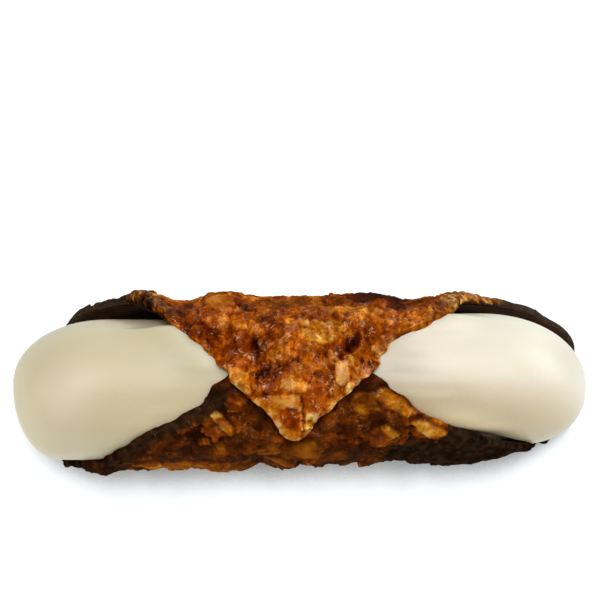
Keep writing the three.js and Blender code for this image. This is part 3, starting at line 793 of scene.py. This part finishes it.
def crust_colour(value, red, chocolate, speck, sheen_share=0):
    stops = [t for t, _ in CRUST_TONES]
    tones = np.array([c for _, c in CRUST_TONES])
    colour = np.stack([np.interp(value, stops, tones[:, k]) for k in range(3)], 1)
    warm = np.stack([1 + 0.05 * red, 1 - 0.24 * red, 1 - 0.3 * red], 1)
    colour = colour * np.clip(warm, 0.5, 1.6)
    mix = np.clip(0.35 + 1.2 * speck, 0, 1)[:, None]
    dark = CHOCOLATE_DARK * (1 - mix) + CHOCOLATE_PALE * mix
    sheen_share = np.broadcast_to(sheen_share, len(value))[:, None]
    dark = dark * (1 - sheen_share) + CHOCOLATE_WITH_SHEEN * sheen_share
    return colour * (1 - chocolate[:, None]) + dark * chocolate[:, None]


# ---- Meshes ------------------------------------------------------------------------------------


def point_at(x, tau, radius):
    turn = np.radians(ROLL + tau)
    return np.stack([x, radius * np.sin(turn), AXIS_Z - radius * np.cos(turn)], -1)


def sheet_places(steps):
    """x and tau of a square grid over the sheet, and how far each place is from the rim."""
    t = np.linspace(-1, 1, steps + 1)
    a, b = np.meshgrid(t, t, indexing="ij")
    u = (a + b) / 2
    w = (a - b) / 2
    tau = u * np.where(u >= 0, FLAP["reach"], UNDER["reach"])
    share = np.where(np.abs(u) > 0.9999, 0, w / np.maximum(1 - np.abs(u), 1e-6))
    x = share * reach_of(tau, share > 0) + shift_of(tau)
    side = math.hypot(RIGHT_END, FLAP["reach"] * MM_PER_DEGREE)
    rim = (1 - np.maximum(np.abs(a), np.abs(b))) * side / 2
    return x.ravel(), tau.ravel(), rim.ravel()


def covered_at(x, tau):
    there = tau + 360
    edge = reach_of(np.maximum(there, 0), x >= shift_of(there))
    covered = 1 - smooth(*COVERED_EDGE, np.abs(x - shift_of(there)) - edge)
    return np.where(tau > COVERED_FROM, 0, covered)


def grid_quads(first, rows, columns):
    i, j = np.meshgrid(np.arange(rows - 1), np.arange(columns - 1), indexing="ij")
    p = first + i * columns + j
    return np.stack([p, p + 1, p + columns + 1, p + columns], -1).reshape(-1, 4)


def tube_quads(rows, columns):
    """Faces between rings of points, each ring closed on itself."""
    i, j = np.meshgrid(np.arange(rows - 1), np.arange(columns), indexing="ij")
    p = i * columns + j
    q = i * columns + (j + 1) % columns
    return np.stack([p, q, q + columns, p + columns], -1).reshape(-1, 4)


def border(first, steps):
    n = steps + 1
    k = np.arange(steps)
    loop = [k * n, steps * n + k, (steps - k) * n + steps, steps - k]
    return first + np.concatenate(loop)


def make_piece(name, points, faces, body_slot, node, **attributes):
    mesh = bpy.data.meshes.new(name)
    mesh.from_pydata((np.asarray(points) * MM).tolist(), [], faces)
    mesh.validate()
    mesh.shade_smooth()
    for key, values in attributes.items():
        if values.ndim == 2:
            layer = mesh.color_attributes.new(key, "FLOAT_COLOR", "POINT")
            rgba = np.concatenate([values, np.ones((len(values), 1))], 1)
            layer.data.foreach_set("color", rgba.astype(np.float32).ravel())
        else:
            layer = mesh.attributes.new(key, "FLOAT", "POINT")
            layer.data.foreach_set("value", values.astype(np.float32))
    piece = new_object(name, mesh)
    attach(piece, "root")
    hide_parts(node)
    return piece


CRUST_STEPS = 270
RIM_ROUNDING = 0.5
RIM_WIDTH = 2
EDGE_RINGS = ((0.22, 0.28), (0.5, 0.38), (0.78, 0.26))  # share of the thickness, bulge


def make_crust():
    x, tau, rim = sheet_places(CRUST_STEPS)
    height, value, red, glossy, crisp, jag_x, jag_y = crust_surface(x, tau)
    seam = from_seam(tau)
    showing = 1 - covered_at(x, tau)
    off_floor = smooth(*FLAT_REACH, np.abs(ROLL + tau))
    to_rim = reach_of(tau, x >= shift_of(tau)) - np.abs(x - shift_of(tau))
    dipped = far_rim_mask(x, tau) * (1 - smooth(2.0, 5.0, to_rim))
    at_far_edge = bell(seam + 90, 14)
    calm = np.where(x < 0, 0.45, 0.75) * dipped
    crags = RELIEF_MEAN + height * off_floor * (1 - calm) * (1 - 0.4 * at_far_edge)
    rounded = RIM_ROUNDING * (1 - smooth(0, RIM_WIDTH, rim))
    face = TUBE_RADIUS + WALL / 2 + bent_by(x, seam) + swells(SWELLS, x, seam) * off_floor
    radius = face + climb_at(x, tau) + crags * showing - rounded
    outer = point_at(x, tau, radius)
    outer[:, 2] = np.maximum(0, outer[:, 2])

    half = CRUST_STEPS // 2
    ix, itau, _ = sheet_places(half)
    inner = point_at(ix, itau, bore_at(ix, from_seam(itau)) + climb_at(ix, itau))

    outer_rim = border(0, CRUST_STEPS)
    inner_first = len(outer)
    inner_rim = border(inner_first, half)

    # A crumbly edge between the two faces, bulging a little along the sheet.
    inner_loop = inner[inner_rim - inner_first]
    matched = np.repeat(inner_loop, 2, 0)
    matched[1::2] = (inner_loop + np.roll(inner_loop, -1, 0)) / 2
    outer_loop = outer[outer_rim]
    n = CRUST_STEPS + 1
    grid = outer.reshape(n, n, 3)
    inward = np.concatenate([grid[:-1, 3], grid[-4, :-1], grid[:0:-1, -4], grid[3, :0:-1]])
    push = outer_loop - inward
    push = push / np.maximum(np.linalg.norm(push, axis=1, keepdims=True), 1e-6)
    loop_xt = np.stack([x[outer_rim], tau[outer_rim] * MM_PER_DEGREE], 1)
    rings = []
    crumb_tones = []
    turned = turned_rim(tau, to_rim)[outer_rim]
    crumbly = 0.26 - 0.24 * dipped[outer_rim]
    for k, (share, bulge) in enumerate(EDGE_RINGS):
        crumbs = cloud(loop_xt[:, 0], loop_xt[:, 1], 1.6, 3, 20 + 1.3 * k)
        ring = outer_loop * (1 - share) + matched * share
        ring = ring + push * (bulge + crumbly * crumbs)[:, None]
        rings.append(ring)
        crumb_tones.append(0.3 * crumbs + crumb_tone(x[outer_rim], turned, crumbs))
    points = np.concatenate([outer, inner, *rings])
    points[:, 2] = np.maximum(0, points[:, 2])
    ring_first = inner_first + len(inner)
    loop_length = len(outer_rim)
    faces = grid_quads(0, n, n).tolist()
    faces += grid_quads(inner_first, half + 1, half + 1)[:, ::-1].tolist()
    loops = [outer_rim]
    for k in range(len(EDGE_RINGS)):
        loops.append(ring_first + k * loop_length + np.arange(loop_length))
    for first, second in zip(loops, loops[1:]):
        quads = np.stack([first, second, np.roll(second, -1), np.roll(first, -1)], 1)
        faces += quads[:, ::-1].tolist()
    last = loops[-1]
    for k in range(len(inner_rim)):
        here, there = inner_rim[k], inner_rim[(k + 1) % len(inner_rim)]
        o0, o1, o2 = last[2 * k], last[2 * k + 1], last[(2 * k + 2) % loop_length]
        faces += [[o0, o1, here], [o1, there, here], [o1, o2, there]]
    faces = [[int(v) for v in face] for face in faces]

    # Colour of the outside, then of the inside, which the chocolate lines, then of the edge.
    chocolate = chocolate_mask(x, tau, jag_x)
    far_rim = far_rim_mask(x, tau)
    colour = crust_colour(value, red, chocolate, jag_y, far_rim)
    # Mixed towards that pale grey-brown: as painted sheen where the crust turns away towards the
    # top and bottom, a little all over the layer under the flap, and where crumbs cling to the
    # turned rims.
    dust_and_sheen = 0.03 * (tau < 0) + 0.09 * smooth(35, 65, np.abs(seam)) * (1 - chocolate)
    dust_and_sheen = dust_and_sheen + 0.4 * turned_rim(tau, to_rim) * (1 - chocolate)
    colour = colour + (DUST_AND_SHEEN - colour) * dust_and_sheen[:, None]
    inside = np.repeat(CHOCOLATE_WITH_SHEEN[None, :], len(inner), 0)
    edge_value = value[outer_rim] + 0.1 - crumb_tone(x[outer_rim], turned, jag_y[outer_rim])
    edge_dark = np.maximum(chocolate[outer_rim], far_rim[outer_rim])
    edges = [  # the innermost ring is mostly chocolate
        crust_colour(
            edge_value - 0.12 * k + crumb_tones[k],
            red[outer_rim],
            np.clip(edge_dark + 0.7 * (k == 2), 0, 1),
            jag_y[outer_rim],
            far_rim[outer_rim],
        )
        for k in range(len(EDGE_RINGS))
    ]
    colour = np.concatenate([colour, inside, *edges])
    elsewhere = np.zeros(len(inner) + len(EDGE_RINGS) * loop_length)
    gloss = np.concatenate([glossy * (1 - 0.6 * chocolate), elsewhere])
    crisp = np.concatenate([crisp * (1 - 0.5 * chocolate), elsewhere + 0.6])
    return make_piece(
        "pastry_crust", points, faces, "fried_pastry", "pastry_shell",
        tint=colour, gloss=gloss, crisp=crisp,
    )


LINING_ROUND = 180
LINING_ALONG = 110
LINING_INSET = 0.3
LINING_CLEAR = 0.2
LINING_RIM = 0.3


def make_lining():
    seam = -180 + 360 * np.arange(LINING_ROUND) / LINING_ROUND
    left = -mouth_at(seam, False) + LINING_INSET
    right = mouth_at(seam, True) - LINING_INSET
    share = np.linspace(0, 1, LINING_ALONG + 1)[:, None]
    x = left + (right - left) * share
    angle = np.broadcast_to(seam, x.shape)
    ripple = cloud(x.ravel(), angle.ravel() * MM_PER_DEGREE, 4.5, 3, 9.0).reshape(x.shape)
    full = smooth(0, 0.06, share) * smooth(0, 0.06, 1 - share)
    outside = point_at(x, angle + 180, bore_at(x, angle) - LINING_CLEAR)
    depth = SKIN_GAP + CHOCOLATE + 0.12 * ripple
    sunk = LINING_RIM + (depth - LINING_RIM) * full
    inside = point_at(x, angle + 180, bore_at(x, angle) - sunk)
    rows = LINING_ALONG + 1
    points = np.concatenate([outside.reshape(-1, 3), inside.reshape(-1, 3)])
    quads = tube_quads(rows, LINING_ROUND)
    faces = quads.tolist()
    base = rows * LINING_ROUND
    faces += (quads[:, ::-1] + base).tolist()
    j = np.arange(LINING_ROUND)
    k = (j + 1) % LINING_ROUND
    faces += np.stack([k, j, j + base, k + base], 1).tolist()
    end = (rows - 1) * LINING_ROUND
    faces += np.stack([j + end, k + end, k + end + base, j + end + base], 1).tolist()
    return make_piece("chocolate_coat", points, faces, "dark_chocolate", "chocolate_lining")


def cream_limit(x, seam):
    past = np.abs(x) - mouth_at(seam, x >= 0)
    inside = bore_at(x, seam) - CHOCOLATE - 2 * SKIN_GAP
    return inside + SWELL_MOST * smooth(SWELL_OUT[0], SWELL_OUT[1], past)


def cream_points(x, seam):
    """Points of the cream's surface, as in the part's source."""
    pick = {key: np.where(x < 0, CREAM[False][key], CREAM[True][key]) for key in CREAM[True]}
    spread = smooth(*CREAM_SPREAD, np.abs(x))
    theta = np.radians(seam)
    below = np.maximum(0, -np.cos(theta)) ** 2
    length = pick["nose"] - pick["lean"] * np.sin(theta) - pick["sag"] * below
    nose = np.clip((np.abs(x) - pick["end"] + length) / length, 0, 1)
    cap = (1 - nose**CREAM_FULLNESS) ** (1 / CREAM_FULLNESS)
    shown = pick["radius"] + CREAM_SETTLED * below
    radius = (CREAM_INSIDE_RADIUS + (shown - CREAM_INSIDE_RADIUS) * spread) * cap
    out = pick["out"] * spread * cap
    down = (pick["tip"] + (pick["down"] - pick["tip"]) * cap) * spread
    aside = (np.sin(theta) * out - np.cos(theta) * down) / np.maximum(radius, 1)
    turn = theta + np.arcsin(np.clip(aside * smooth(*CREAM_TURNED, cap), -1, 1))
    px = radius * np.cos(turn) + out
    py = radius * np.sin(turn) + down
    angle = np.degrees(np.arctan2(py, px))
    reach = np.hypot(px, py)
    limit = cream_limit(x, angle)
    past = np.maximum(0, np.abs(x) - mouth_at(angle, x >= 0))
    begun = smooth(pick["fill_from"], pick["fill_from"] + FILL_SETS_IN, angle)
    ended = smooth(*FILL_ENDS, angle)
    near = bell(past, FILL_WIDTH) * smooth(0, FILL_NOSE, cap)
    reach = reach + np.maximum(0, limit - reach) * begun * (1 - ended) * near
    soft = 0.5 * (reach + limit - np.sqrt((reach - limit) ** 2 + 0.15))
    reach = np.where(cap > 0.05, np.minimum(soft, limit), np.minimum(reach, limit))
    return point_at(x, angle + 180, reach)


# One cream: the left end is painted darker and yellower, as painted shade, and the right whiter, as
# painted light.
CREAM_LEFT_IN_SHADE = linear(227, 218, 187)
CREAM_RIGHT_IN_LIGHT = linear(249, 244, 228)
# Places painted paler or deeper: x, y, half width along x and y, change of red, green and blue. The
# first is painted shade by the right mouth's corner, the next two painted highlights on the left
# cream; the last two are only darker.
CREAM_SHADE_AND_HIGHLIGHT_SPOTS = [
    (20, 1, 8, 8, (-0.24, -0.26, -0.28)),
    (-22, 2, 9, 7, (0.08, 0.16, 0.3)),
    (-55, -8, 8, 8, (0.12, 0.14, 0.34)),
    (-32, -4, 12, 6, (-0.07, -0.07, -0.1)),
    (63, 6, 6, 9, (-0.22, -0.22, -0.26)),
]


def cream_colour(points):
    """The right half is painted whiter and the left darker and yellower, as painted light and
    shade; painted shade also darkens and yellows the right half low on its near side and along its
    near rim, and all of the far side.
    """
    x, y = points[:, :1], points[:, 1:2]
    colour = CREAM_LEFT_IN_SHADE + (CREAM_RIGHT_IN_LIGHT - CREAM_LEFT_IN_SHADE) * smooth(-20, 20, x)
    # Painted shade: low on the right half's near side, along its near rim, and on the far side.
    low = smooth(-2, -13, y) * smooth(10, 30, x)
    shade_along_edge = smooth(0, -9, y) * smooth(8, 18, x) * (1 - smooth(24, 46, x))
    high = smooth(6, 14, y)
    painted_shade_losses = (0.13, 0.2, 0.34), (0.3, 0.35, 0.44), (0.16, 0.16, 0.22)
    for share, loss in zip((low, shade_along_edge, high), painted_shade_losses):
        colour = colour * (1 - share * np.array(loss))
    for cx, cy, wide, deep, change in CREAM_SHADE_AND_HIGHLIGHT_SPOTS:
        spot = bell(x - cx, wide) * bell(y - cy, deep)
        colour = colour * (1 + spot * np.array(change))
    return np.clip(colour, 0, 1)


CREAM_ROUND = 200
CREAM_OUTSIDE = 70
CREAM_INSIDE = 40


def make_cream():
    seam = -180 + 360 * np.arange(CREAM_ROUND) / CREAM_ROUND
    first, last = -CREAM[False]["end"], CREAM[True]["end"]
    left = np.maximum(-mouth_at(seam, False), first + CREAM_LEAST)
    right = np.minimum(mouth_at(seam, True), last - CREAM_LEAST)
    nose = [smooth(0, CREAM_OUTSIDE, i) for i in range(1, CREAM_OUTSIDE + 1)]
    rows = [first + (left - first) * share for share in nose]
    rows += [left + (right - left) * i / CREAM_INSIDE for i in range(1, CREAM_INSIDE + 1)]
    rows += [last - (last - right) * share for share in nose[-2::-1]]
    x = np.array(rows)
    angle = np.broadcast_to(seam, x.shape)
    body = cream_points(x, angle).reshape(-1, 3)
    tips = cream_points(np.array([first, last]), np.zeros(2))
    points = np.concatenate([body, tips])
    count = len(rows)
    faces = tube_quads(count, CREAM_ROUND).tolist()
    j = np.arange(CREAM_ROUND)
    k = (j + 1) % CREAM_ROUND
    pole = len(body)
    faces += np.stack([np.full(CREAM_ROUND, pole), k, j], 1).tolist()
    end = (count - 1) * CREAM_ROUND
    faces += np.stack([np.full(CREAM_ROUND, pole + 1), j + end, k + end], 1).tolist()
    tint = cream_colour(points)
    return make_piece("cream_fill", points, faces, "cream", "cream_filling", tint=tint)


# ---- Materials ---------------------------------------------------------------------------------


class Shader:
    """A material whose nodes are added one call at a time."""

    def __init__(self, name):
        self.material = bpy.data.materials.new(name)
        self.material.use_nodes = True
        self.tree = self.material.node_tree
        self.surface = self.tree.nodes["Principled BSDF"]

    def add(self, kind, **settings):
        node = self.tree.nodes.new(kind)
        for key, value in settings.items():
            setattr(node, key, value)
        return node

    def link(self, source, target):
        self.tree.links.new(source, target)

    def put(self, node, **values):
        """Constant values for a node's inputs, with underscores for spaces."""
        for key, value in values.items():
            node.inputs[key.replace("_", " ")].default_value = value

    def set(self, **values):
        self.put(self.surface, **values)

    def feed(self, source, name):
        self.link(source, self.surface.inputs[name])

    def attribute(self, name, output="Fac"):
        return self.add("ShaderNodeAttribute", attribute_name=name).outputs[output]

    def noise(self, scale, detail=4.0, roughness=0.6, distortion=0.0):
        where = self.add("ShaderNodeTexCoord").outputs["Object"]
        node = self.add("ShaderNodeTexNoise")
        self.put(node, Scale=scale, Detail=detail, Roughness=roughness, Distortion=distortion)
        self.link(where, node.inputs["Vector"])
        return node.outputs["Fac"]

    def cells(self, scale, stray):
        """A random tone for each of many small cells."""
        where = self.add("ShaderNodeTexCoord").outputs["Object"]
        bend = self.add("ShaderNodeTexNoise")
        self.put(bend, Scale=1.6 * scale, Detail=3)
        moved = self.add("ShaderNodeVectorMath", operation="MULTIPLY_ADD")
        moved.inputs[1].default_value = (stray, stray, stray)
        self.link(where, bend.inputs["Vector"])
        self.link(bend.outputs["Color"], moved.inputs[0])
        self.link(where, moved.inputs[2])
        node = self.add("ShaderNodeTexVoronoi")
        self.put(node, Scale=scale)
        self.link(moved.outputs["Vector"], node.inputs["Vector"])
        tone = self.add("ShaderNodeSeparateColor")
        self.link(node.outputs["Color"], tone.inputs["Color"])
        return tone.outputs["Red"]

    def scale(self, source, factor):
        node = self.add("ShaderNodeMath", operation="MULTIPLY")
        self.link(source, node.inputs[0])
        if isinstance(factor, bpy.types.NodeSocket):
            self.link(factor, node.inputs[1])
        else:
            node.inputs[1].default_value = factor
        return node.outputs["Value"]

    def ramp(self, source, *stops):
        node = self.add("ShaderNodeValToRGB")
        elements = node.color_ramp.elements
        while len(elements) < len(stops):
            elements.new(0.5)
        for element, (position, value) in zip(elements, stops):
            element.position = position
            element.color = (*value, 1) if np.ndim(value) else (value,) * 3 + (1,)
        self.link(source, node.inputs["Fac"])
        return node.outputs["Color"]

    def mix(self, kind, factor, first, second):
        node = self.add("ShaderNodeMix", data_type="RGBA", blend_type=kind)
        node.inputs["Factor"].default_value = 1.0
        sockets = [node.inputs["Factor"], node.inputs[6], node.inputs[7]]
        for socket, value in zip(sockets, (factor, first, second)):
            if isinstance(value, bpy.types.NodeSocket):
                self.link(value, socket)
            elif np.ndim(value):
                socket.default_value = (*value, 1)
            else:
                socket.default_value = value
        return node.outputs[2]

    def bump(self, source, distance, strength=1.0, after=None):
        node = self.add("ShaderNodeBump")
        self.put(node, Distance=distance, Strength=strength)
        self.link(source, node.inputs["Height"])
        if after is not None:
            self.link(after, node.inputs["Normal"])
        return node.outputs["Normal"]


def pastry_material():
    """Small tilted facets of broken dough, each with its tone, under a thin glaze of fat, with tiny
    painted glints mixed into the colour.
    """
    m = Shader("fried_pastry")
    tint = m.attribute("tint", "Color")
    gloss = m.attribute("gloss")
    crisp = m.attribute("crisp")
    facets = m.cells(560, 0.0022)
    flecks = m.cells(1250, 0.001)
    crumbs = m.noise(800, 4, 0.65, 0.6)
    grain = m.noise(1700, 3, 0.65)
    spots = m.cells(720, 0.0018)
    glints = m.noise(1150, 3, 0.7, 1.0)
    colour = tint
    for source, share, *stops in (
        (facets, 0.62, (0.0, (0.5, 0.38, 0.28)), (0.45, 0.95), (1.0, (1.5, 1.52, 1.4))),
        (flecks, 0.6, (0.0, (0.55, 0.42, 0.32)), (0.5, 1.0), (1.0, (1.45, 1.52, 1.5))),
        (crumbs, 0.5, (0.34, (0.42, 0.3, 0.22)), (0.48, 1.0), (0.66, (1.3, 1.36, 1.4))),
        (grain, 0.5, (0.36, (0.5, 0.4, 0.34)), (0.48, 1.0), (0.64, (1.3, 1.4, 1.5))),
    ):
        shade = m.ramp(source, *stops)
        colour = m.mix("MULTIPLY", m.scale(crisp, share), colour, shade)
    # Tiny painted glints: pale specks mixed into the colour.
    painted_glints = m.scale(m.ramp(spots, (0.4, 0.0), (0.6, 1.0)), m.ramp(glints, (0.53, 0.0), (0.6, 1.0)))
    colour = m.mix("MIX", m.scale(painted_glints, gloss), colour, PAINTED_GLINT)
    m.feed(colour, "Base Color")
    m.feed(m.ramp(crumbs, (0.32, 0.24), (0.68, 0.45)), "Roughness")
    m.set(Specular_IOR_Level=0.0, Coat_Roughness=0.12, Coat_IOR=1.4)
    m.feed(m.scale(gloss, 0.4), "Coat Weight")
    relief = m.bump(facets, 0.00022)
    relief = m.bump(crumbs, 0.00045, 1.0, relief)
    m.feed(m.bump(grain, 0.00018, 1.0, relief), "Normal")
    return m.material


def chocolate_material():
    m = Shader("dark_chocolate")
    cloudy = m.noise(260, 4, 0.6)
    fine = m.noise(1400, 4, 0.6)
    colour = m.ramp(cloudy, (0.3, linear(46, 31, 20)), (0.75, linear(62, 44, 30)))
    m.feed(colour, "Base Color")
    m.feed(m.ramp(fine, (0.3, 0.28), (0.75, 0.5)), "Roughness")
    m.set(Specular_IOR_Level=0.06)
    m.feed(m.bump(fine, 0.00012, 1.0, m.bump(cloudy, 0.0004)), "Normal")
    return m.material


def cream_material():
    m = Shader("cream")
    tint = m.attribute("tint", "Color")
    cloudy = m.noise(45, 2, 0.5)
    fine = m.noise(900, 3, 0.5)
    clouds = m.ramp(cloudy, (0.3, (0.97, 0.965, 0.94)), (0.7, 1.0))
    m.feed(m.mix("MULTIPLY", 1.0, tint, clouds), "Base Color")
    m.feed(m.ramp(fine, (0.3, 0.34), (0.75, 0.44)), "Roughness")
    m.set(Subsurface_Weight=0.35, Subsurface_Scale=0.0025, Subsurface_Radius=(1.0, 0.75, 0.4))
    m.feed(m.bump(fine, 0.00004, 1.0, m.bump(cloudy, 0.0006)), "Normal")
    return m.material


make_crust().data.materials.append(pastry_material())
make_lining().data.materials.append(chocolate_material())
make_cream().data.materials.append(cream_material())

# ---- Floor and light ---------------------------------------------------------------------------

floor_mesh = bpy.data.meshes.new("floor")
floor_mesh.from_pydata([(-3, -3, 0), (3, -3, 0), (3, 3, 0), (-3, 3, 0)], [], [(0, 1, 2, 3)])
floor = new_object("floor", floor_mesh)
floor.location.z = -0.00005
paper = Shader("white_floor")
paper.set(Base_Color=(0.25, 0.25, 0.25, 1), Roughness=0.9, Specular_IOR_Level=0.0)
paper.set(Emission_Color=(0.92, 0.97, 1.0, 1))
# The floor glows, dimmed where ambient occlusion finds the cannoli close: a painted contact shadow
# round it, and the glow lights the cannoli from below though the floor is no lamp.
open_sky = paper.add("ShaderNodeAmbientOcclusion", samples=8)
open_sky.inputs["Distance"].default_value = 0.014
glow = paper.ramp(open_sky.outputs["AO"], (0.42, 0.2), (0.63, 0.95))
paper.feed(glow, "Emission Strength")
floor_mesh.materials.append(paper.material)


def softbox(name, place, size, power, colour):
    """A rectangular lamp at a place in metres from the cannoli's middle, turned towards it."""
    light = bpy.data.lights.new(name, "AREA")
    light.shape = "RECTANGLE"
    light.size, light.size_y = size
    light.energy = power
    light.color = colour
    box = new_object(name, light)
    box.location = Vector(place) + middle
    box.rotation_euler = Vector(place).to_track_quat("Z", "Y").to_euler()


softbox("overhead", (0, 0.05, 0.7), (0.5, 0.5), 2.95, (1, 0.96, 0.98))
softbox("far_right", (0.5, 0.35, 0.4), (0.4, 0.4), 1.6, (0.85, 1, 1))
softbox("right", (0.62, 0.15, 0.32), (0.35, 0.4), 1.5, (1, 0.88, 0.88))
softbox("near_left", (-0.4, -0.4, 0.45), (0.4, 0.4), 0.95, (1, 0.85, 0.45))
softbox("left", (-0.65, 0, 0.3), (0.35, 0.4), 0.55, (1, 0.9, 0.45))
world = bpy.data.worlds.new("studio")
world.use_nodes = True
background = world.node_tree.nodes["Background"].inputs
background["Color"].default_value = (1, 1, 1, 1)
background["Strength"].default_value = 0.02
bpy.context.scene.world = world
bpy.context.scene.view_settings.view_transform = "Standard"
